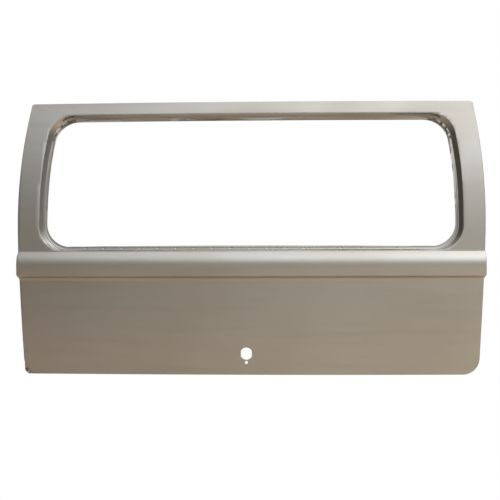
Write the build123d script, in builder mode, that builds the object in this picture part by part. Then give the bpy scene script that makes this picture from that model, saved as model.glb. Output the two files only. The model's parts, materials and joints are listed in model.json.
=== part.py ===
"""Van tailgate shell: a pressed outer skin hemmed over a welded frame of pressed rails.

Millimetres. +X is right as seen from outside, +Y points into the vehicle and +Z is up.
The origin is the middle of the flat hinge face along the top rail.
"""

import os
from math import asin, cos, degrees, radians, sin

from build123d import *

# Sheet
skin_sheet = 1.0
frame_sheet = 1.0
plate_sheet = 2.5
weld_gap = 0.1

# Panel seen from outside, heights above the bottom edge
panel_height = 752
top_half = 616
belt_half = 637
bottom_half = 621
belt_height = 300
side_crown = 12.8
top_corner = 8
bottom_corner = 45
belt_ear = 3
hinge_height = 723

# Section of the skin on the centre line, as reach outward from the hinge face
plan_radius = 9000
bottom_reach = 106
lower_reach = 115
lower_height = 130
step_reach = 114
step_height = 261
lip_reach = 127.5
lip_height = 269.5
bulge_reach = 129
shoulder_height = 317
waist_reach = 113
waist_height = 335
upper_reach = 98.3
upper_height = 546
top_reach = 31.5
run_out = 25

# Bends along the section, from the bottom edge up
lower_bend = 2200
step_bend = 14
lip_bend = 5
shoulder_bend = 55
waist_bend = 4
upper_bend = 1500

# Hem round the edge
hem_width = 11
frame_inset = 13
corner_tab = 16

# Window, measured on its own tilted plane
window_height = 525
window_reach = 46
window_tilt = 10.26
opening_top = 176.7
opening_bottom = 180.8
opening_top_half = 540
opening_bottom_half = 559
opening_crown = 9
opening_top_corner = 58
opening_bottom_corner = 51
recess_depth = 12
recess_top = 178.3
recess_bottom = 181.3
recess_top_half = 557
recess_bottom_half = 572.5
recess_crown = 9.5
recess_corner = 64
recess_draft = 20
flange_width = 11

# Inner frame
frame_reach = 66
frame_bend_height = 318
frame_top_bend = 700
access_inner = 85
access_outer = 548
access_bottom = 92
access_top = 262
access_corner = 30
lip_depth = 12
lap = 18
top_joint = 640
post_joint = 408
stile_top_joint = 226
stile_bottom_joint = 128

# Lock, latch, hinges and trim
lock_offset = -8
lock_height = 58
lock_radius = 16.5
lock_flat = 14.9
locating_height = 34
locating_radius = 4.2
latch_width = 100
latch_height = 50
latch_spacing_x = 136
latch_spacing_z = 36
latch_hole = 3.3
hinge_offset = 380
hinge_spacing = 60
hinge_hole = 4.5
hinge_plate_width = 110
hinge_plate_height = 22
latch_plate_width = 164
latch_plate_height = 62
lock_plate_width = 84
lock_plate_height = 66
lock_plate_sheet = 1.5
trim_hole = 4
trim_offsets = (190, 380, 575)
trim_low = 60
trim_high = 285

# Room for cutting tools to run past the sheet
clear = 320


def level(height):
    """Z of a height above the bottom edge."""
    return height - hinge_height


half_angle = degrees(asin((belt_half + 60) / plan_radius))
swing = radians(half_angle)
plan_axis = Axis((0, plan_radius, 0), (0, 0, 1))
section_plane = Plane(
    origin=(-plan_radius * sin(swing), plan_radius * (1 - cos(swing)), 0),
    x_dir=(sin(swing), cos(swing), 0),
    z_dir=(cos(swing), -sin(swing), 0),
)
tilt = radians(window_tilt)
window_plane = Plane(
    origin=(0, -window_reach, level(window_height)),
    x_dir=(1, 0, 0),
    z_dir=(0, -cos(tilt), sin(tilt)),
)

# Outer face of the skin on the centre line
with BuildLine() as skin_line:
    FilletPolyline(
        (-bottom_reach, level(-run_out)),
        (-lower_reach, level(lower_height)),
        (-step_reach, level(step_height)),
        (-lip_reach, level(lip_height)),
        (-bulge_reach, level(shoulder_height)),
        (-waist_reach, level(waist_height)),
        (-upper_reach, level(upper_height)),
        (-top_reach + run_out / 3, level(panel_height + run_out)),
        radius=[lower_bend, step_bend, lip_bend, shoulder_bend, waist_bend, upper_bend],
    )

# The same face above the belt, carried straight on below it
with BuildLine() as upper_line:
    FilletPolyline(
        (-waist_reach - run_out / 10, level(waist_height - run_out)),
        (-upper_reach, level(upper_height)),
        (-top_reach + run_out / 3, level(panel_height + run_out)),
        radius=upper_bend,
    )

# Back of the inner frame, straight across the panel
with BuildLine() as frame_line:
    FilletPolyline(
        (-frame_reach, level(-run_out)),
        (-frame_reach, level(frame_bend_height)),
        (0, level(frame_top_bend)),
        (0, level(panel_height + run_out)),
        radius=[150, 20],
    )


def line_behind(line, depth):
    """The given section line moved inward by a depth."""
    if depth == 0:
        return line.wire()
    side = Side.RIGHT if depth > 0 else Side.LEFT
    return line.wire().offset_2d(abs(depth), side=side, closed=False)


def ends_upward(wire):
    """The lower and the upper end of a section wire."""
    ends = sorted([wire @ 0, wire @ 1], key=lambda end: end.Y)
    return ends[0], ends[1]


def sheet_between(line, front, back):
    """Curved sheet of the panel between two depths behind a section line."""
    near = line_behind(line, front)
    far = line_behind(line, back)
    near_low, near_high = ends_upward(near)
    far_low, far_high = ends_upward(far)
    with BuildPart() as sheet:
        with BuildSketch(section_plane):
            with BuildLine():
                add(near)
                Line(near_high, far_high)
                add(far)
                Line(far_low, near_low)
            make_face()
        revolve(axis=plan_axis, revolution_arc=2 * half_angle)
    return sheet.part


def room_in_front(line, depth):
    """Everything outside a surface that lies at a depth behind a section line."""
    near = line_behind(line, depth)
    low, high = ends_upward(near)
    with BuildPart() as room:
        with BuildSketch(section_plane):
            with BuildLine():
                add(near)
                Polyline(high, (-clear, high.Y), (-clear, low.Y), low)
            make_face()
        revolve(axis=plan_axis, revolution_arc=2 * half_angle)
    return room.part


def room_before_frame(depth):
    """Everything outside the frame's back face, less a depth."""
    near = line_behind(frame_line, -depth)
    low, high = ends_upward(near)
    with BuildPart() as room:
        with BuildSketch(Plane.YZ):
            with BuildLine():
                add(near)
                Polyline(high, (-clear / 2, high.Y), (-clear / 2, low.Y), low)
            make_face()
        extrude(amount=belt_half + 30, both=True)
    return room.part


def panel_prism(inset):
    """Block with the panel's outline, drawn in by an inset."""
    low = level(inset)
    high = level(panel_height - inset)
    belt = level(belt_height)
    with BuildPart() as prism:
        with BuildSketch(Plane.XZ):
            with BuildLine():
                Line((-bottom_half + inset, low), (bottom_half - inset, low))
                Line((bottom_half - inset, low), (belt_half - inset, belt))
                SagittaArc((belt_half - inset, belt), (top_half - inset, high), -side_crown)
                Line((top_half - inset, high), (-top_half + inset, high))
                SagittaArc((-top_half + inset, high), (-belt_half + inset, belt), -side_crown)
                Line((-belt_half + inset, belt), (-bottom_half + inset, low))
            make_face()
            fillet(vertices().group_by(Axis.Y)[0], max(bottom_corner - inset, 8))
            fillet(vertices().group_by(Axis.Y)[-1], max(top_corner - inset, 4))
        extrude(amount=clear, both=True)
    return prism.part


def window_face(top, bottom, top_half_width, bottom_half_width, crown, top_radius, bottom_radius):
    """Rounded window outline on the tilted window plane."""
    with BuildSketch(window_plane) as outline:
        with BuildLine():
            Line((-bottom_half_width, -bottom), (bottom_half_width, -bottom))
            SagittaArc((bottom_half_width, -bottom), (top_half_width, top), -crown)
            Line((top_half_width, top), (-top_half_width, top))
            SagittaArc((-top_half_width, top), (-bottom_half_width, -bottom), -crown)
        make_face()
        fillet(vertices().group_by(Axis.Y)[0], bottom_radius)
        fillet(vertices().group_by(Axis.Y)[-1], top_radius)
    return outline.sketch


def window_prism(margin):
    """Block through the window opening, grown all round by a margin."""
    outline = window_face(
        opening_top + margin,
        opening_bottom + margin,
        opening_top_half + margin,
        opening_bottom_half + margin,
        opening_crown,
        opening_top_corner + margin,
        opening_bottom_corner + margin,
    )
    with BuildPart() as prism:
        extrude(outline, amount=clear / 2, both=True)
    return prism.part


def recess_block(margin):
    """Drafted block of the window recess, down to its floor."""
    outline = window_face(
        recess_top + margin,
        recess_bottom + margin,
        recess_top_half + margin,
        recess_bottom_half + margin,
        recess_crown,
        recess_corner + margin,
        recess_corner + margin,
    )
    with BuildPart() as block:
        extrude(outline, amount=clear / 3, taper=-recess_draft)
        add(room_in_front(upper_line, recess_depth + margin), mode=Mode.INTERSECT)
    return block.part


def slice_between(low, high):
    """Block between two heights."""
    with BuildPart() as band:
        with Locations((0, 0, level((low + high) / 2))):
            Box(3 * belt_half, 2 * clear, high - low)
    return band.part


def upright_plate(width, height, corner, offset, centre_height):
    """Rounded rectangle in the front view, as a block through the panel."""
    with BuildPart() as block:
        with BuildSketch(Plane.XZ):
            with Locations((offset, level(centre_height))):
                RectangleRounded(width, height, corner)
        extrude(amount=clear, both=True)
    return block.part


def access_prism(side, margin):
    """Block through one lower access opening, grown all round by a margin."""
    width = access_outer - access_inner
    return upright_plate(
        width + 2 * margin,
        access_top - access_bottom + 2 * margin,
        access_corner + margin,
        side * (access_inner + access_outer) / 2,
        (access_top + access_bottom) / 2,
    )


# Lock hole with its flats, and the locating hole below it
with BuildPart() as lock_bore:
    with BuildSketch(Plane.XZ):
        with Locations((lock_offset, level(lock_height))):
            Circle(lock_radius)
            Rectangle(2 * lock_flat, 2 * lock_radius, mode=Mode.INTERSECT)
    extrude(amount=clear, both=True)
with BuildPart() as locating_bore:
    with BuildSketch(Plane.XZ):
        with Locations((lock_offset, level(locating_height))):
            Circle(locating_radius)
    extrude(amount=clear, both=True)

# Ears of the belt swage, which stands a little past the sides
with BuildPart() as belt_ears:
    with BuildSketch(Plane.XZ):
        with Locations((0, level((step_height + waist_height) / 2))):
            RectangleRounded(
                2 * (belt_half + belt_ear), waist_height - step_height, belt_ear
            )
    extrude(amount=clear, both=True)

hem_depth = 2 * skin_sheet + frame_sheet + 2 * weld_gap
flange_front = skin_sheet + weld_gap
flange_back = flange_front + frame_sheet
panel_block = panel_prism(0)
hem_inside = panel_prism(hem_width)
window_hole = window_prism(0)

# Small tab of the bottom flange that stands past the left corner of the skin
with BuildPart() as tab_block:
    with BuildSketch(Plane.XZ):
        with Locations((-bottom_half + bottom_corner / 2, level(bottom_corner / 2))):
            Rectangle(bottom_corner, bottom_corner)
        fillet(vertices().group_by(Axis.Y)[0].sort_by(Axis.X)[0], corner_tab)
    extrude(amount=clear, both=True)
with BuildPart() as tab_sheet:
    add(sheet_between(skin_line, flange_front, flange_back))
    add(tab_block.part, mode=Mode.INTERSECT)
    add(panel_prism(frame_inset + frame_sheet), mode=Mode.SUBTRACT)

# Outer skin: sheet, recess wall and floor, hem wall and hem return
with BuildPart() as skin_face:
    add(sheet_between(skin_line, 0, skin_sheet))
    add(recess_block(0), mode=Mode.SUBTRACT)
    add(panel_block + belt_ears.part, mode=Mode.INTERSECT)
with BuildPart() as recess_wall:
    add(recess_block(skin_sheet))
    add(recess_block(0), mode=Mode.SUBTRACT)
    add(room_in_front(skin_line, 0), mode=Mode.SUBTRACT)
with BuildPart() as hem_return:
    add(sheet_between(skin_line, flange_back + weld_gap, hem_depth))
    add(panel_block, mode=Mode.INTERSECT)
    add(hem_inside, mode=Mode.SUBTRACT)
    add(tab_block.part, mode=Mode.SUBTRACT)
with BuildPart() as hem_wall:
    add(sheet_between(skin_line, 0, hem_depth))
    add(panel_block, mode=Mode.INTERSECT)
    add(panel_prism(skin_sheet), mode=Mode.SUBTRACT)
    add(tab_block.part, mode=Mode.SUBTRACT)
with BuildPart() as outer_skin:
    add(skin_face.part)
    add(recess_wall.part)
    add(hem_wall.part)
    add(hem_return.part)
    add(window_hole, mode=Mode.SUBTRACT)
    add(lock_bore.part, mode=Mode.SUBTRACT)
    add(locating_bore.part, mode=Mode.SUBTRACT)
outer_skin.part.label = "outer_skin"


def frame_floor(depth):
    """Floor sheet of the frame, at a depth outside its back face."""
    return room_before_frame(depth) - room_before_frame(depth + frame_sheet)


def frame_ring(depth):
    """Whole frame in one: floor, walls, hem flange, window flange and opening lips."""
    with BuildPart() as ring:
        add(room_before_frame(depth))
        add(panel_prism(frame_inset), mode=Mode.INTERSECT)
        add(window_prism(flange_width), mode=Mode.SUBTRACT)
        core = room_before_frame(depth + frame_sheet) & panel_prism(frame_inset + frame_sheet)
        add(core - window_prism(flange_width + frame_sheet), mode=Mode.SUBTRACT)
        add(room_in_front(skin_line, flange_front), mode=Mode.SUBTRACT)
        add(recess_block(skin_sheet + weld_gap), mode=Mode.SUBTRACT)
        add(hem_flange.part)
        add(window_flange.part)
        for side in (-1, 1):
            add(access_prism(side, 0), mode=Mode.SUBTRACT)
            lip = access_prism(side, frame_sheet) - access_prism(side, 0)
            add(lip & (room_before_frame(depth) - room_before_frame(depth + lip_depth)))
    return ring.part


# Flanges that carry the frame: one inside the hem, one behind the window flange
with BuildPart() as hem_flange:
    add(sheet_between(skin_line, flange_front, flange_back))
    add(panel_prism(skin_sheet + weld_gap), mode=Mode.INTERSECT)
    add(panel_prism(frame_inset + frame_sheet), mode=Mode.SUBTRACT)
with BuildPart() as window_flange:
    add(sheet_between(upper_line, recess_depth + flange_front, recess_depth + flange_back))
    add(window_prism(flange_width + frame_sheet), mode=Mode.INTERSECT)
    add(window_prism(-1), mode=Mode.SUBTRACT)

lap_depth = frame_sheet + weld_gap
rail_ring = frame_ring(0)
post_ring = frame_ring(lap_depth)
tongue_sheet = frame_floor(lap_depth) & panel_prism(frame_inset + 2 * frame_sheet)
tongue_sheet -= window_prism(flange_width + 2 * frame_sheet)
for side in (-1, 1):
    tongue_sheet -= access_prism(side, 2 * frame_sheet)

# Cut-outs of the rails: latch opening, bolt holes, trim clip holes and drain slots
with BuildPart() as latch_holes:
    with BuildSketch(Plane.XZ):
        with Locations((lock_offset, level(lock_height))):
            with GridLocations(latch_spacing_x, latch_spacing_z, 2, 2):
                Circle(latch_hole)
    extrude(amount=clear, both=True)
with BuildPart() as hinge_holes:
    with BuildSketch(Plane.XZ):
        for side in (-1, 1):
            with Locations((side * hinge_offset, 0)):
                with GridLocations(hinge_spacing, 1, 2, 1):
                    Circle(hinge_hole)
    extrude(amount=plate_sheet * 4, both=True)
with BuildPart() as trim_holes:
    with BuildSketch(Plane.XZ):
        for offset in trim_offsets:
            for height in (trim_low, trim_high):
                with Locations((-offset, level(height)), (offset, level(height))):
                    Circle(trim_hole)
    extrude(amount=clear, both=True)
latch_opening = upright_plate(latch_width, latch_height, 10, lock_offset, lock_height)
with BuildPart() as drain_slots:
    with BuildSketch(Plane.XY.offset(level(frame_inset))):
        with Locations((-400, -frame_reach - 14), (0, -frame_reach - 18), (400, -frame_reach - 14)):
            SlotOverall(30, 8)
    extrude(amount=5, both=True)

# Rails are cut from the outer ring, posts from the ring one sheet further out
with BuildPart() as top_rail:
    add(rail_ring)
    add(slice_between(top_joint, panel_height + run_out), mode=Mode.INTERSECT)
    add(hinge_holes.part, mode=Mode.SUBTRACT)
top_rail.part.label = "top_rail"

with BuildPart() as waist_rail:
    add(rail_ring)
    add(slice_between(stile_top_joint, post_joint), mode=Mode.INTERSECT)
    add(trim_holes.part, mode=Mode.SUBTRACT)
waist_rail.part.label = "waist_rail"

with BuildPart() as bottom_rail:
    add(rail_ring)
    add(slice_between(-run_out, stile_bottom_joint), mode=Mode.INTERSECT)
    add(tab_sheet.part)
    add(latch_opening, mode=Mode.SUBTRACT)
    add(latch_holes.part, mode=Mode.SUBTRACT)
    add(trim_holes.part, mode=Mode.SUBTRACT)
    add(drain_slots.part, mode=Mode.SUBTRACT)
bottom_rail.part.label = "bottom_rail"

# Posts, stiles and pillar, with tongues lapped under the rails
upper_posts = post_ring & slice_between(post_joint, top_joint)
upper_posts += tongue_sheet & slice_between(post_joint - lap, top_joint + lap)
lower_posts = post_ring & slice_between(stile_bottom_joint, stile_top_joint)
lower_posts += tongue_sheet & slice_between(stile_bottom_joint - lap, stile_top_joint + lap)


def side_block(left, right):
    """Block between two places across the panel."""
    with BuildPart() as band:
        with Locations(((left + right) / 2, 0, 0)):
            Box(right - left, 2 * clear, 3 * panel_height)
    return band.part


with BuildPart() as left_window_post:
    add(upper_posts & side_block(-2 * belt_half, 0))
left_window_post.part.label = "left_window_post"

with BuildPart() as right_window_post:
    add(upper_posts & side_block(0, 2 * belt_half))
right_window_post.part.label = "right_window_post"

with BuildPart() as left_side_stile:
    add(lower_posts & side_block(-2 * belt_half, -(access_inner + access_outer) / 2))
left_side_stile.part.label = "left_side_stile"

with BuildPart() as right_side_stile:
    add(lower_posts & side_block((access_inner + access_outer) / 2, 2 * belt_half))
right_side_stile.part.label = "right_side_stile"

pillar_reach = (access_inner + access_outer) / 2
with BuildPart() as lock_pillar:
    add(lower_posts & side_block(-pillar_reach, pillar_reach))
lock_pillar.part.label = "lock_pillar"

# Plates welded inside the rails and behind the lock hole
plate_front = frame_sheet + weld_gap


def rail_plate(width, height, offset, centre_height, face_reach):
    """Flat plate against the inside of a rail whose back face has the given reach."""
    with BuildPart() as plate:
        with BuildSketch(Plane.XZ.offset(face_reach + plate_front)):
            with Locations((offset, level(centre_height))):
                RectangleRounded(width, height, 5)
        extrude(amount=plate_sheet)
    return plate.part


def weld_nut(across_flats, bore, thickness, offset, centre_height, face_reach):
    """Hexagon weld nut on the inside of such a plate."""
    with BuildPart() as nut:
        with BuildSketch(Plane.XZ.offset(face_reach + plate_front + plate_sheet)):
            with Locations((offset, level(centre_height))):
                RegularPolygon(across_flats / 2, 6, major_radius=False)
                Circle(bore, mode=Mode.SUBTRACT)
        extrude(amount=thickness)
    return nut.part


with BuildPart() as left_hinge_plate:
    add(rail_plate(hinge_plate_width, hinge_plate_height, -hinge_offset, hinge_height, 0))
    add(hinge_holes.part, mode=Mode.SUBTRACT)
left_hinge_plate.part.label = "left_hinge_plate"

with BuildPart() as right_hinge_plate:
    add(rail_plate(hinge_plate_width, hinge_plate_height, hinge_offset, hinge_height, 0))
    add(hinge_holes.part, mode=Mode.SUBTRACT)
right_hinge_plate.part.label = "right_hinge_plate"

with BuildPart() as latch_plate:
    add(rail_plate(latch_plate_width, latch_plate_height, lock_offset, lock_height, frame_reach))
    add(latch_opening, mode=Mode.SUBTRACT)
    add(latch_holes.part, mode=Mode.SUBTRACT)
latch_plate.part.label = "latch_plate"

with BuildPart() as lock_plate:
    add(sheet_between(skin_line, flange_front, flange_front + lock_plate_sheet))
    add(upright_plate(lock_plate_width, lock_plate_height, 14, lock_offset, lock_height), mode=Mode.INTERSECT)
    add(lock_bore.part, mode=Mode.SUBTRACT)
    add(locating_bore.part, mode=Mode.SUBTRACT)
lock_plate.part.label = "lock_plate"

os.makedirs("parts", exist_ok=True)
export_step(outer_skin.part, "parts/outer_skin.step")
export_step(top_rail.part, "parts/top_rail.step")
export_step(waist_rail.part, "parts/waist_rail.step")
export_step(bottom_rail.part, "parts/bottom_rail.step")
export_step(left_window_post.part, "parts/left_window_post.step")
export_step(right_window_post.part, "parts/right_window_post.step")
export_step(left_side_stile.part, "parts/left_side_stile.step")
export_step(right_side_stile.part, "parts/right_side_stile.step")
export_step(lock_pillar.part, "parts/lock_pillar.step")
export_step(left_hinge_plate.part, "parts/left_hinge_plate.step")
export_step(right_hinge_plate.part, "parts/right_hinge_plate.step")
export_step(latch_plate.part, "parts/latch_plate.step")
export_step(lock_plate.part, "parts/lock_plate.step")

# Weld nuts of the hinges and the latch
for side, name in ((-1, "left"), (1, "right")):
    for step, place in ((-1, "inner"), (1, "outer")):
        offset = side * (hinge_offset + step * hinge_spacing / 2)
        with BuildPart() as hinge_nut:
            add(weld_nut(13, hinge_hole - 0.3, 6.5, offset, hinge_height, 0))
        hinge_nut.part.label = name + "_" + place + "_hinge_nut"
        export_step(hinge_nut.part, "parts/" + hinge_nut.part.label + ".step")
for side, name in ((-1, "left"), (1, "right")):
    for step, place in ((-1, "lower"), (1, "upper")):
        offset = lock_offset + side * latch_spacing_x / 2
        height = lock_height + step * latch_spacing_z / 2
        with BuildPart() as latch_nut:
            add(weld_nut(10, latch_hole - 0.2, 5, offset, height, frame_reach))
        latch_nut.part.label = name + "_" + place + "_latch_nut"
        export_step(latch_nut.part, "parts/" + latch_nut.part.label + ".step")
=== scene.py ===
import json
from math import asin, cos, radians, sin, tan

import bmesh
import bpy
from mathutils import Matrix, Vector

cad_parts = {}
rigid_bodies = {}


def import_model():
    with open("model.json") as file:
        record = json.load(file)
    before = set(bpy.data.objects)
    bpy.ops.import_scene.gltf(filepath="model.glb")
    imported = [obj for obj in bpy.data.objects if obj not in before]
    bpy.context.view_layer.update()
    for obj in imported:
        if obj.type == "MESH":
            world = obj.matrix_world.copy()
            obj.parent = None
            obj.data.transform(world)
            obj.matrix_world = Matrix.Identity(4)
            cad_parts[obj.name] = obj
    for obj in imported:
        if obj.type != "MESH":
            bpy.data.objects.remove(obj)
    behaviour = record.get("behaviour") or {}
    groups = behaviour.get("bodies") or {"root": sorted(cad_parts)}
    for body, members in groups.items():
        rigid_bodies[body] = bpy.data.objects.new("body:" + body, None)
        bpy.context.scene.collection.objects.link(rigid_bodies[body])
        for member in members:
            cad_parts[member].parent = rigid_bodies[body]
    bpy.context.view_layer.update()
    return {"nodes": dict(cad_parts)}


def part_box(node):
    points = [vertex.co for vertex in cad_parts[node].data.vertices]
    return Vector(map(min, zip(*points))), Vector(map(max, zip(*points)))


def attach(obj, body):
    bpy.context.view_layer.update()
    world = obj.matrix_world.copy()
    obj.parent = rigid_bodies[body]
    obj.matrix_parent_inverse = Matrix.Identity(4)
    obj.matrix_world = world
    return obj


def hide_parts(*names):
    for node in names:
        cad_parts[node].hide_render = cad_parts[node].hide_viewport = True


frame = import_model()


# Outer skin: one sheet of bare body steel, pressed to shape in a single draw.
# It carries the belt swage and the window recess, and its edge is folded back
# over the frame's flange as a hem all round.
skin_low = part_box("outer_skin")[0]
skin_sheet = 0.001
mesh_pitch = 0.010
crease = radians(70)
bend_step = radians(4)
plan_radius = 9.0
plan_half = 0.665
run_out = 0.025

# Section on the centre line: reach outward from the hinge face, height, bend
skin_section = (
    (0.1055, -run_out, 0),
    (0.115, 0.130, 2.2),
    (0.114, 0.261, 0.014),
    (0.1275, 0.2695, 0.005),
    (0.129, 0.317, 0.055),
    (0.113, 0.335, 0.004),
    (0.0983, 0.546, 1.5),
    (0.0232, 0.777, 0),
)
cutter_front = -2 * max(reach for reach, height, bend in skin_section)

# Right half of the panel seen from outside: distance from the middle, height, corner
belt_half = 0.6405
panel_height = 0.752
panel_side = (
    (0.621, 0.0, 0.045),
    (0.6349, 0.261, 0.003),
    (belt_half, 0.272, 0.012),
    (belt_half, 0.322, 0.016),
    (0.6385, 0.337, 0.004),
    (0.6465, 0.545, 1.75),
    (0.616, panel_height, 0.008),
)

# Right half of the window recess where it leaves the skin
recess_half = 0.5823
recess_bottom = 0.338
recess_top = 0.7175
recess_corner = 0.070
recess_tilt = radians(10)
recess_side = (
    (recess_half, recess_bottom, recess_corner),
    (recess_half, 0.565, 1.19),
    (0.5565, recess_top, recess_corner),
)

# Rings down the recess: how far in at the sides, top and bottom, and how deep
recess_rings = (
    (0.0008, 0.0005, 0.0003, 0.0002),
    (0.0021, 0.0014, 0.0008, 0.0009),
    (0.0032, 0.0021, 0.0012, 0.0020),
    (0.0125, 0.0070, 0.0032, 0.0104),
    (0.0134, 0.0077, 0.0037, 0.0110),
    (0.0142, 0.0083, 0.0042, 0.0109),
    (0.0150, 0.0089, 0.0047, 0.0104),
    (0.0158, 0.0095, 0.0052, 0.0105),
    (0.0167, 0.0102, 0.0058, 0.0114),
    (0.0176, 0.0110, 0.0065, 0.0118),
    (0.0223, 0.0165, 0.0125, 0.0118),
)

# Hem: the edge rolls back round the flange and returns behind it
hem_roll = 0.0016
hem_return = 0.011
hem_steps = 6

lock_offset = -0.008
lock_height = 0.058
lock_radius = 0.0165
lock_flat = 0.0149
locating_height = 0.034
locating_radius = 0.0042

# What tells the parts of the cut sheet apart: how far from a middle or an edge to look for them
trim_band = 0.004
window_reach = 0.05
window_low = 0.45
window_high = 0.6
lock_core = 0.011
locating_core = 0.003
rim_margin = 0.008
merge_gap = 0.0002


def level(height):
    """Z of a height above the panel's bottom edge."""
    return skin_low[2] + height


def new_piece(name):
    """A new piece with one point at the origin, left in edit mode."""
    bpy.ops.object.select_all(action="DESELECT")
    bpy.ops.mesh.primitive_plane_add(size=skin_sheet)
    piece = bpy.context.object
    piece.name = name
    piece.data.name = name
    bpy.ops.object.mode_set(mode="EDIT")
    bpy.ops.mesh.merge(type="CENTER")
    return piece


def draw_run(start, end):
    """Draws a straight run on from the selected point, in steps of the mesh pitch."""
    steps = max(1, round((end - start).length / mesh_pitch))
    for _ in range(steps):
        bpy.ops.mesh.extrude_vertices_move(TRANSFORM_OT_translate={"value": (end - start) / steps})


def draw_line(corners):
    """Draws a line through corners, each given as a point and the radius of its bend."""
    here = corners[0][0]
    for before, (corner, radius), after in zip(corners, corners[1:], corners[2:]):
        ahead = (corner - before[0]).normalized()
        beyond = (after[0] - corner).normalized()
        turn = ahead.angle(beyond)
        if radius == 0:
            draw_run(here, corner)
            here = corner
            continue
        axis = ahead.cross(beyond).normalized()
        bend_start = corner - ahead * radius * tan(turn / 2)
        draw_run(here, bend_start)
        bends = max(3, round(turn / bend_step), round(radius * turn / mesh_pitch))
        centre = bend_start + axis.cross(ahead) * radius
        bpy.ops.mesh.spin(steps=bends, angle=-turn, center=centre, axis=axis)
        here = corner + beyond * radius * tan(turn / 2)
    draw_run(here, corners[-1][0])


def select_points(piece, test):
    """Selects the points whose place passes the test, and nothing else."""
    bpy.ops.mesh.select_all(action="DESELECT")
    bpy.ops.mesh.select_mode(type="VERT")
    mesh = bmesh.from_edit_mesh(piece.data)
    for point in mesh.verts:
        point.select_set(test(point.co))
    mesh.select_flush_mode()
    bmesh.update_edit_mesh(piece.data)


def select_rim(piece, test):
    """Selects the open edges whose middle passes the test, and nothing else."""
    bpy.ops.mesh.select_all(action="DESELECT")
    bpy.ops.mesh.select_mode(type="EDGE")
    mesh = bmesh.from_edit_mesh(piece.data)
    for edge in mesh.edges:
        middle = (edge.verts[0].co + edge.verts[1].co) / 2
        edge.select_set(edge.is_boundary and test(middle))
    bmesh.update_edit_mesh(piece.data)


def mirrored(side, inset):
    """Closed outline from its right half, drawn in by an inset, in the front view before the panel."""
    low = side[0][1] + inset
    high = side[-1][1] - inset
    right = [(x - inset, min(max(height, low), high), radius) for x, height, radius in side]
    left = [(-x, height, radius) for x, height, radius in reversed(right)]
    corners = [(0, low, 0)] + right + left + [(0, low, 0)]
    return [(Vector((x, cutter_front, level(height))), radius) for x, height, radius in corners]


def cut_along(piece, outline):
    """Cuts the sheet straight through along a closed outline and takes the cutter away."""
    back = -cutter_front / 2
    bpy.ops.mesh.select_all(action="DESELECT")
    bpy.ops.mesh.primitive_plane_add(size=skin_sheet)
    bpy.ops.mesh.merge(type="CENTER")
    bpy.ops.transform.translate(value=outline[0][0])
    draw_line(outline)
    select_points(piece, lambda place: abs(place.y - cutter_front) < skin_sheet)
    bpy.ops.mesh.remove_doubles(threshold=skin_sheet / 10)
    bpy.ops.mesh.extrude_edges_move(TRANSFORM_OT_translate={"value": (0, back - cutter_front, 0)})
    bpy.ops.mesh.select_linked()
    bpy.ops.mesh.intersect(mode="SELECT_UNSELECT", separate_mode="ALL", solver="EXACT")
    select_points(piece, lambda place: min(abs(place.y - cutter_front), abs(place.y - back)) < skin_sheet)
    bpy.ops.mesh.select_linked()
    bpy.ops.mesh.delete(type="VERT")


def drop_linked(piece, test):
    """Takes away each loose part of the sheet that has a point passing the test."""
    select_points(piece, test)
    bpy.ops.mesh.select_linked()
    bpy.ops.mesh.delete(type="VERT")


def from_hole(place, height):
    """Distance of a place, seen from the front, from the middle of a hole at a height."""
    return (place - Vector((lock_offset, place.y, level(height)))).length


def in_recess(place):
    """Whether a place, seen from the front, lies in the window recess or on its edge."""
    beside = abs(place.x) < recess_half + rim_margin
    return beside and level(recess_bottom - rim_margin) < place.z < level(recess_top + rim_margin)


def by_edge(place):
    """Whether a place lies outside the recess and beside the panel's outer edge."""
    upright = level(rim_margin) < place.z < level(recess_top + rim_margin)
    return abs(place.x) > recess_half + rim_margin or not upright


def draw_rings(half, low, high, lean, rings):
    """Draws the selected rim on, ring by ring: in at the sides, top and bottom, and back by a depth."""
    side, top, bottom, depth = 0, 0, 0, 0
    for next_side, next_top, next_bottom, next_depth in rings:
        width = 2 * (half - side)
        height = high - top - low - bottom
        middle = (high - top + low + bottom) / 2
        drop = (next_depth - depth) * sin(lean)
        bpy.ops.mesh.extrude_edges_move()
        bpy.ops.transform.resize(
            value=(2 * (half - next_side) / width, 1, (high - next_top - low - next_bottom) / height),
            center_override=(0, 0, middle),
        )
        bpy.ops.transform.translate(
            value=(
                0,
                (next_depth - depth) * cos(lean),
                (next_bottom - bottom - next_top + top) / 2 - drop,
            )
        )
        side, top, bottom, depth = next_side, next_top, next_bottom, next_depth


def thicken(piece, sheet):
    """Faces the sheet outwards, gives it its thickness inwards and smooths its bends."""
    bpy.ops.mesh.select_all(action="SELECT")
    bpy.ops.mesh.normals_make_consistent(inside=False)
    bpy.ops.object.mode_set(mode="OBJECT")
    if sum(face.normal.y * face.area for face in piece.data.polygons) > 0:
        bpy.ops.object.mode_set(mode="EDIT")
        bpy.ops.mesh.flip_normals()
        bpy.ops.object.mode_set(mode="OBJECT")
    wall = piece.modifiers.new("sheet", "SOLIDIFY")
    wall.thickness = sheet
    wall.offset = -1
    bpy.ops.object.modifier_apply(modifier=wall.name)
    bpy.ops.object.shade_smooth_by_angle(angle=crease)


outer_skin = new_piece("outer_skin_pressing")
section = [(Vector((0, -reach, level(height))), bend) for reach, height, bend in skin_section]
bpy.ops.transform.translate(value=section[0][0])
draw_line(section)
half_swing = asin(plan_half / plan_radius)
plan_centre = (0, plan_radius, 0)
bpy.ops.mesh.select_all(action="SELECT")
bpy.ops.transform.rotate(value=half_swing, orient_axis="Z", center_override=plan_centre)
bpy.ops.mesh.spin(
    steps=round(2 * plan_half / mesh_pitch), angle=-2 * half_swing, center=plan_centre, axis=(0, 0, 1)
)

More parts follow.
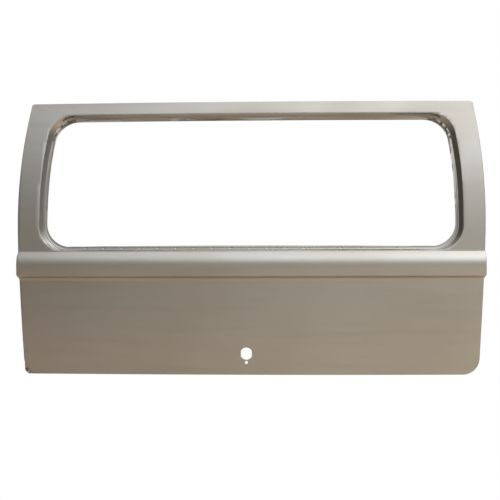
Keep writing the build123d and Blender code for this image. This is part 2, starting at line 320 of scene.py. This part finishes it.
# Trim to the panel's outline, then open the window recess and the lock holes
cut_along(outer_skin, mirrored(panel_side, hem_roll))
drop_linked(outer_skin, lambda place: abs(place.x) > plan_half - trim_band)
cut_along(outer_skin, mirrored(recess_side, 0))
drop_linked(
    outer_skin,
    lambda place: abs(place.x) < window_reach and level(window_low) < place.z < level(window_high),
)
flat_end = (lock_radius**2 - lock_flat**2) ** 0.5
lock_peak = lock_radius**2 / flat_end
lock_corners = (
    (lock_flat, 0, 0),
    (lock_flat, flat_end, 0),
    (0, lock_peak, lock_radius),
    (-lock_flat, flat_end, 0),
    (-lock_flat, -flat_end, 0),
    (0, -lock_peak, lock_radius),
    (lock_flat, -flat_end, 0),
    (lock_flat, 0, 0),
)
lock_outline = [
    (Vector((lock_offset + x, cutter_front, level(lock_height + z))), radius) for x, z, radius in lock_corners
]
cut_along(outer_skin, lock_outline)
drop_linked(outer_skin, lambda place: from_hole(place, lock_height) < lock_core)
locating_corners = ((0, -1, 0), (1, -1, 1), (1, 1, 1), (-1, 1, 1), (-1, -1, 1), (0, -1, 0))
locating_outline = [
    (
        Vector((lock_offset + x * locating_radius, cutter_front, level(locating_height + z * locating_radius))),
        bend * locating_radius,
    )
    for x, z, bend in locating_corners
]
cut_along(outer_skin, locating_outline)
drop_linked(outer_skin, lambda place: from_hole(place, locating_height) < locating_core)
bpy.ops.mesh.select_all(action="SELECT")
bpy.ops.mesh.remove_doubles(threshold=merge_gap)

# Press the recess back in rings, then roll the hem round the outer edge
select_rim(outer_skin, in_recess)
draw_rings(recess_half, level(recess_bottom), level(recess_top), recess_tilt, recess_rings)
select_rim(outer_skin, by_edge)
hem_rings = []
for step in range(1, hem_steps + 1):
    roll = radians(180) * step / hem_steps
    out = -hem_roll * sin(roll)
    hem_rings.append((out, out, out, hem_roll * (1 - cos(roll))))
inward = hem_return - hem_roll
hem_rings.append((inward, inward, inward, 2 * hem_roll))
draw_rings(belt_half, level(0), level(panel_height), 0, hem_rings)
thicken(outer_skin, skin_sheet)


def new_group(name, inputs, outputs):
    """A shader node group with number inputs and outputs of the given kinds."""
    group = bpy.data.node_groups.new(name, "ShaderNodeTree")
    for label, value in inputs:
        socket = group.interface.new_socket(name=label, in_out="INPUT", socket_type="NodeSocketFloat")
        socket.default_value = value
    for label, kind in outputs:
        group.interface.new_socket(name=label, in_out="OUTPUT", socket_type=kind)
    return group, group.nodes.new("NodeGroupInput"), group.nodes.new("NodeGroupOutput")


def maths(tree, operation, first, second):
    """A maths node on two sockets or numbers; returns its result socket."""
    node = tree.nodes.new("ShaderNodeMath")
    node.operation = operation
    for place, value in enumerate((first, second)):
        if isinstance(value, (int, float)):
            node.inputs[place].default_value = value
        else:
            tree.links.new(value, node.inputs[place])
    return node.outputs[0]


def noise(tree, place, scale, detail):
    """A noise texture on a place socket; returns its value socket."""
    node = tree.nodes.new("ShaderNodeTexNoise")
    node.inputs["Detail"].default_value = detail
    tree.links.new(place, node.inputs["Vector"])
    if isinstance(scale, (int, float)):
        node.inputs["Scale"].default_value = scale
    else:
        tree.links.new(scale, node.inputs["Scale"])
    return node.outputs["Fac"]


def blend_colours(tree, mask, first, second):
    """Mixes two colours, each a socket or a plain colour, by a mask socket."""
    node = tree.nodes.new("ShaderNodeMix")
    node.data_type = "RGBA"
    tree.links.new(mask, node.inputs[0])
    for place, value in ((6, first), (7, second)):
        if isinstance(value, tuple):
            node.inputs[place].default_value = (*value, 1)
        else:
            tree.links.new(value, node.inputs[place])
    return node.outputs[2]


def stepped(tree, value, low, high):
    """A mask that rises smoothly from 0 to 1 between two values."""
    node = tree.nodes.new("ShaderNodeMapRange")
    node.interpolation_type = "SMOOTHSTEP"
    node.inputs["From Min"].default_value = low
    node.inputs["From Max"].default_value = high
    tree.links.new(value, node.inputs["Value"])
    return node.outputs["Result"]


# Bare steel as it leaves the press: a fine satin grain, broad cloudy stains where
# drawing oil dried, and streaks wiped along the sheet.
wipe_stretch = (0.35, 1.0, 5.0)
cloud_edge = (0.35, 0.68)
streak_edge = (0.42, 0.75)
streak_fade = 0.22
streak_shade = 0.75
grain_roughness = 0.10
cloud_roughness = 0.05
grain_strength = 0.04
grain_depth = 0.0005
steel_group, steel_in, steel_out = new_group(
    "bare_steel",
    (("Grain Scale", 420.0), ("Cloud Scale", 3.0), ("Streak Scale", 9.0)),
    (("Grain", "NodeSocketFloat"), ("Clouds", "NodeSocketFloat"), ("Streaks", "NodeSocketFloat")),
)
steel_place = steel_group.nodes.new("ShaderNodeTexCoord").outputs["Object"]
wiped = steel_group.nodes.new("ShaderNodeMapping")
wiped.inputs["Scale"].default_value = wipe_stretch
steel_group.links.new(steel_place, wiped.inputs["Vector"])
steel_layers = (
    ("Grain", "Grain Scale", steel_place, 5),
    ("Clouds", "Cloud Scale", steel_place, 3),
    ("Streaks", "Streak Scale", wiped.outputs["Vector"], 6),
)
for layer, scale, place, detail in steel_layers:
    pattern = noise(steel_group, place, steel_in.outputs[scale], detail)
    steel_group.links.new(pattern, steel_out.inputs[layer])


def steel(name, colour, stain, roughness, cloud_scale):
    """Bare steel in a colour, stained in clouds towards a second colour."""
    material = bpy.data.materials.new(name)
    material.use_nodes = True
    tree = material.node_tree
    shader = tree.nodes["Principled BSDF"]
    shader.inputs["Metallic"].default_value = 1.0
    finish = tree.nodes.new("ShaderNodeGroup")
    finish.node_tree = steel_group
    finish.inputs["Cloud Scale"].default_value = cloud_scale
    clouds = stepped(tree, finish.outputs["Clouds"], *cloud_edge)
    tint = blend_colours(tree, clouds, colour, stain)
    streaks = stepped(tree, finish.outputs["Streaks"], *streak_edge)
    faded = maths(tree, "MULTIPLY", streaks, streak_fade)
    worn = blend_colours(tree, faded, tint, tuple(streak_shade * part for part in stain))
    tree.links.new(worn, shader.inputs["Base Color"])
    satin = maths(tree, "MULTIPLY_ADD", finish.outputs["Grain"], grain_roughness)
    satin.node.inputs[2].default_value = roughness - grain_roughness / 2
    clouded = maths(tree, "MULTIPLY_ADD", clouds, cloud_roughness)
    tree.links.new(satin, clouded.node.inputs[2])
    tree.links.new(clouded, shader.inputs["Roughness"])
    bump = tree.nodes.new("ShaderNodeBump")
    bump.inputs["Strength"].default_value = grain_strength
    bump.inputs["Distance"].default_value = grain_depth
    tree.links.new(finish.outputs["Grain"], bump.inputs["Height"])
    tree.links.new(bump.outputs["Normal"], shader.inputs["Normal"])
    return material


skin_steel = steel("skin_steel", (0.50, 0.49, 0.47), (0.47, 0.45, 0.42), 0.42, 3.0)
outer_skin.data.materials.append(skin_steel)

# Spot welds that join the skin to the frame: small dimples along the window flange
weld_pitch = 0.05
weld_radius = 0.0035
weld_heights = (0.3455, 0.7017)
weld_reach = 0.49
weld_strength = 0.6
weld_depth = 0.0008
skin_tree = skin_steel.node_tree
skin_shader = skin_tree.nodes["Principled BSDF"]


def object_place(tree):
    """Object coordinates, split into X, Y and Z sockets."""
    coordinates = tree.nodes.new("ShaderNodeTexCoord")
    parts = tree.nodes.new("ShaderNodeSeparateXYZ")
    tree.links.new(coordinates.outputs["Object"], parts.inputs["Vector"])
    return parts.outputs


skin_place = object_place(skin_tree)


def weld_row(height):
    """Mask of a row of spots along the panel, 0 in each spot and 1 away from them."""
    along = maths(skin_tree, "PINGPONG", skin_place["X"], weld_pitch / 2)
    above = maths(skin_tree, "SUBTRACT", skin_place["Z"], level(height))
    along_square = maths(skin_tree, "MULTIPLY", along, along)
    above_square = maths(skin_tree, "MULTIPLY", above, above)
    distance = maths(skin_tree, "SQRT", maths(skin_tree, "ADD", along_square, above_square), 0)
    return stepped(skin_tree, distance, weld_radius / 2, weld_radius)


weld_rows = maths(skin_tree, "MINIMUM", weld_row(weld_heights[0]), weld_row(weld_heights[1]))
across = maths(skin_tree, "ABSOLUTE", skin_place["X"], 0)
past_welds = maths(skin_tree, "GREATER_THAN", across, weld_reach)
clear_of_welds = maths(skin_tree, "MAXIMUM", weld_rows, past_welds)
dimples = skin_tree.nodes.new("ShaderNodeBump")
dimples.inputs["Strength"].default_value = weld_strength
dimples.inputs["Distance"].default_value = weld_depth
skin_tree.links.new(clear_of_welds, dimples.inputs["Height"])
skin_tree.links.new(skin_shader.inputs["Normal"].links[0].from_socket, dimples.inputs["Normal"])
skin_tree.links.new(dimples.outputs["Normal"], skin_shader.inputs["Normal"])
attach(outer_skin, "root")
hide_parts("outer_skin")


# Inner frame: pressed rails, posts, stiles and a lock pillar of the same bare sheet,
# lapped and spot welded into a ring whose flange lies inside the hem.
solid_merge = 0.00001
solid_crease = radians(30)
frame_steel = steel("frame_steel", (0.46, 0.45, 0.43), (0.40, 0.38, 0.35), 0.45, 5.0)
frame_nodes = (
    "top_rail",
    "waist_rail",
    "bottom_rail",
    "left_window_post",
    "right_window_post",
    "left_side_stile",
    "right_side_stile",
    "lock_pillar",
)


def dressed_copy(node, material):
    """A welded, smooth-shaded copy of a node that stands for it."""
    bpy.ops.object.select_all(action="DESELECT")
    original = frame["nodes"][node]
    piece = bpy.data.objects.new(node + "_pressing", original.data.copy())
    bpy.context.scene.collection.objects.link(piece)
    bpy.context.view_layer.objects.active = piece
    piece.select_set(True)
    bpy.ops.object.mode_set(mode="EDIT")
    bpy.ops.mesh.select_all(action="SELECT")
    bpy.ops.mesh.remove_doubles(threshold=solid_merge)
    bpy.ops.object.mode_set(mode="OBJECT")
    bpy.ops.object.shade_smooth_by_angle(angle=solid_crease)
    piece.data.materials.clear()
    piece.data.materials.append(material)
    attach(piece, "root")
    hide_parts(node)
    return piece


frame_pieces = {node: dressed_copy(node, frame_steel) for node in frame_nodes}

# Notch below the latch opening that clears the lock's peg. It lies a little left of the
# locating hole and below it, so that light comes through both.
peg_left = 0.0023
peg_drop = 0.0043
peg_reach = 0.068
peg_place = (lock_offset - peg_left, -peg_reach, level(locating_height - peg_drop))
peg_radius = 0.005
peg_length = 0.012


def drill(piece):
    """Drills the peg's hole straight through a piece."""
    bpy.ops.object.select_all(action="DESELECT")
    bpy.ops.mesh.primitive_cylinder_add(
        radius=peg_radius, depth=peg_length, location=peg_place, rotation=(radians(90), 0, 0)
    )
    drill_bit = bpy.context.object
    hole = piece.modifiers.new("peg_hole", "BOOLEAN")
    hole.object = drill_bit
    hole.operation = "DIFFERENCE"
    hole.solver = "EXACT"
    bpy.context.view_layer.objects.active = piece
    bpy.ops.object.modifier_apply(modifier=hole.name)
    bpy.data.objects.remove(drill_bit)


drill(frame_pieces["bottom_rail"])


# Plates behind the hinges, latch and lock: flat pieces of thicker hot-rolled steel,
# darker and rougher than the sheet. They are spot welded to the inside of the rails
# and, round the lock hole, to the back of the skin.
plate_steel = steel("plate_steel", (0.36, 0.35, 0.34), (0.30, 0.28, 0.26), 0.5, 12.0)
plate_nodes = ("left_hinge_plate", "right_hinge_plate", "latch_plate", "lock_plate")
plate_pieces = {node: dressed_copy(node, plate_steel) for node in plate_nodes}
drill(plate_pieces["latch_plate"])


# Weld nuts behind the hinge and latch bolts: hexagons of bright turned steel,
# each welded to the inside of its plate over a bolt hole.
nut_steel = steel("nut_steel", (0.55, 0.54, 0.52), (0.45, 0.42, 0.37), 0.35, 40.0)
for node in frame["nodes"]:
    if node.endswith("_nut"):
        dressed_copy(node, nut_steel)


# Studio: a white sweep behind the panel, a pale warm floor before it and soft light from above,
# stronger on the right. The floor's colour carries painted light: painted shade to the left, painted light to
# the right.
floor_drop = 0.65
# How far the floor's painted light and shade spread to each side, and its two colours: painted shade on the
# left, painted light on the right
painted_light_spread = 2.5
floor_painted_shade_left = (0.42, 0.32, 0.23)
floor_painted_light_right = (0.86, 0.71, 0.54)
sweep_near = 0.35
sweep_far = 4.5
sweep_half = 6.0
sweep_top = 4.0
sweep_edge = 0.01
studio_roughness = 0.9
floor_level = skin_low[2] - floor_drop
bpy.ops.object.select_all(action="DESELECT")
bpy.ops.mesh.primitive_plane_add(size=2 * sweep_half)
sweep = bpy.context.object
sweep.name = "white_sweep"
bpy.ops.object.mode_set(mode="EDIT")
bpy.ops.transform.resize(value=(1, (sweep_far - sweep_near) / (2 * sweep_half), 1))
bpy.ops.transform.translate(value=(0, (sweep_far + sweep_near) / 2, floor_level))
bpy.ops.mesh.select_mode(type="VERT")
select_points(sweep, lambda place: place.y > sweep_far - sweep_edge)
bpy.ops.mesh.select_mode(type="EDGE")
bpy.ops.mesh.extrude_edges_move(TRANSFORM_OT_translate={"value": (0, 0, sweep_top)})
bpy.ops.object.mode_set(mode="OBJECT")
bpy.ops.object.select_all(action="DESELECT")
bpy.ops.mesh.primitive_plane_add(size=2 * sweep_half)
floor = bpy.context.object
floor.name = "pale_floor"
bpy.ops.object.mode_set(mode="EDIT")
bpy.ops.transform.translate(value=(0, sweep_near - sweep_half, floor_level))
bpy.ops.object.mode_set(mode="OBJECT")

white_sweep = bpy.data.materials.new("white_sweep")
white_sweep.use_nodes = True
sweep_tree = white_sweep.node_tree
sweep_shader = sweep_tree.nodes["Principled BSDF"]
sweep_shader.inputs["Base Color"].default_value = (0.85, 0.85, 0.85, 1)
sweep_shader.inputs["Roughness"].default_value = studio_roughness
white_glow = sweep_tree.nodes.new("ShaderNodeEmission")
white_glow.inputs["Color"].default_value = (1, 1, 1, 1)
seen_by = sweep_tree.nodes.new("ShaderNodeLightPath")
seen_or_mirrored = maths(
    sweep_tree, "MAXIMUM", seen_by.outputs["Is Camera Ray"], seen_by.outputs["Is Glossy Ray"]
)
seen = maths(sweep_tree, "MAXIMUM", seen_or_mirrored, seen_by.outputs["Is Transmission Ray"])
sweep_mix = sweep_tree.nodes.new("ShaderNodeMixShader")
sweep_tree.links.new(seen, sweep_mix.inputs["Fac"])
sweep_tree.links.new(sweep_shader.outputs["BSDF"], sweep_mix.inputs[1])
sweep_tree.links.new(white_glow.outputs["Emission"], sweep_mix.inputs[2])
sweep_tree.links.new(sweep_mix.outputs["Shader"], sweep_tree.nodes["Material Output"].inputs["Surface"])
sweep.data.materials.append(white_sweep)
pale_floor = bpy.data.materials.new("pale_floor")
pale_floor.use_nodes = True
floor_tree = pale_floor.node_tree
floor_shader = floor_tree.nodes["Principled BSDF"]
floor_shader.inputs["Roughness"].default_value = studio_roughness
# Painted light: the floor's colour blends from painted shade on the left to painted light on the right
painted_light_rightward = stepped(floor_tree, object_place(floor_tree)["X"], -painted_light_spread, painted_light_spread)
floor_painted_light = blend_colours(floor_tree, painted_light_rightward, floor_painted_shade_left, floor_painted_light_right)
floor_tree.links.new(floor_painted_light, floor_shader.inputs["Base Color"])
floor.data.materials.append(pale_floor)

world = bpy.data.worlds.new("studio")
bpy.context.scene.world = world
world.use_nodes = True
sky_tree = world.node_tree
sky = sky_tree.nodes["Background"]
facing = sky_tree.nodes.new("ShaderNodeSeparateXYZ")
sky_coordinates = sky_tree.nodes.new("ShaderNodeTexCoord")
sky_tree.links.new(sky_coordinates.outputs["Generated"], facing.inputs["Vector"])
height_ramp = sky_tree.nodes.new("ShaderNodeValToRGB")

# Light of the sky by the height of its direction, from straight down to straight up
sky_stops = (
    (-1.0, (0.25, 0.19, 0.12)),
    (-0.02, (0.28, 0.26, 0.23)),
    (0.16, (0.15, 0.15, 0.13)),
    (0.35, (0.2, 0.21, 0.2)),
    (0.6, (1, 1, 1)),
    (1.0, (0.81, 0.82, 0.8)),
)
stops = height_ramp.color_ramp.elements
while len(stops) < len(sky_stops):
    stops.new(0.5)
for stop, (height, colour) in zip(stops, sky_stops):
    stop.position = (height + 1) / 2
for stop, (height, colour) in zip(stops, sky_stops):
    stop.color = (*colour, 1)
height_share = maths(sky_tree, "MULTIPLY_ADD", facing.outputs["Z"], 0.5)
height_share.node.inputs[2].default_value = 0.5
sky_tree.links.new(height_share, height_ramp.inputs["Fac"])

# It grows to the right and falls off far to both sides
right_lift = 1.7
least_glow = 0.35
side_near = 0.4
side_far = 0.75
side_fall = 0.92
sky_strength = 1.84
right_glow = maths(sky_tree, "MULTIPLY_ADD", facing.outputs["X"], right_lift)
right_glow.node.inputs[2].default_value = 1.0
lit_glow = maths(sky_tree, "MAXIMUM", right_glow, least_glow)
aside = maths(sky_tree, "ABSOLUTE", facing.outputs["X"], 0)
far_aside = stepped(sky_tree, aside, side_near, side_far)
side_shade = maths(sky_tree, "MULTIPLY_ADD", far_aside, -side_fall)
side_shade.node.inputs[2].default_value = 1.0
glow = maths(sky_tree, "MULTIPLY", lit_glow, side_shade)
sky_tree.links.new(height_ramp.outputs["Color"], sky.inputs["Color"])
sky_tree.links.new(maths(sky_tree, "MULTIPLY", glow, sky_strength), sky.inputs["Strength"])

# Camera before the panel, a little to the right of its middle
camera_lens = 85.5
camera_right = 0.1603
camera_distance = 3.329
camera_height = 0.3393
camera_turn = (radians(90), radians(0.138), radians(2.804))
camera_data = bpy.data.cameras.new("camera")
camera_data.sensor_width = 36
camera_data.lens = camera_lens
camera = bpy.data.objects.new("camera", camera_data)
camera.location = (camera_right, -camera_distance, level(camera_height))
camera.rotation_euler = camera_turn
bpy.context.scene.collection.objects.link(camera)
bpy.context.scene.camera = camera
bpy.context.scene.view_settings.view_transform = "Standard"
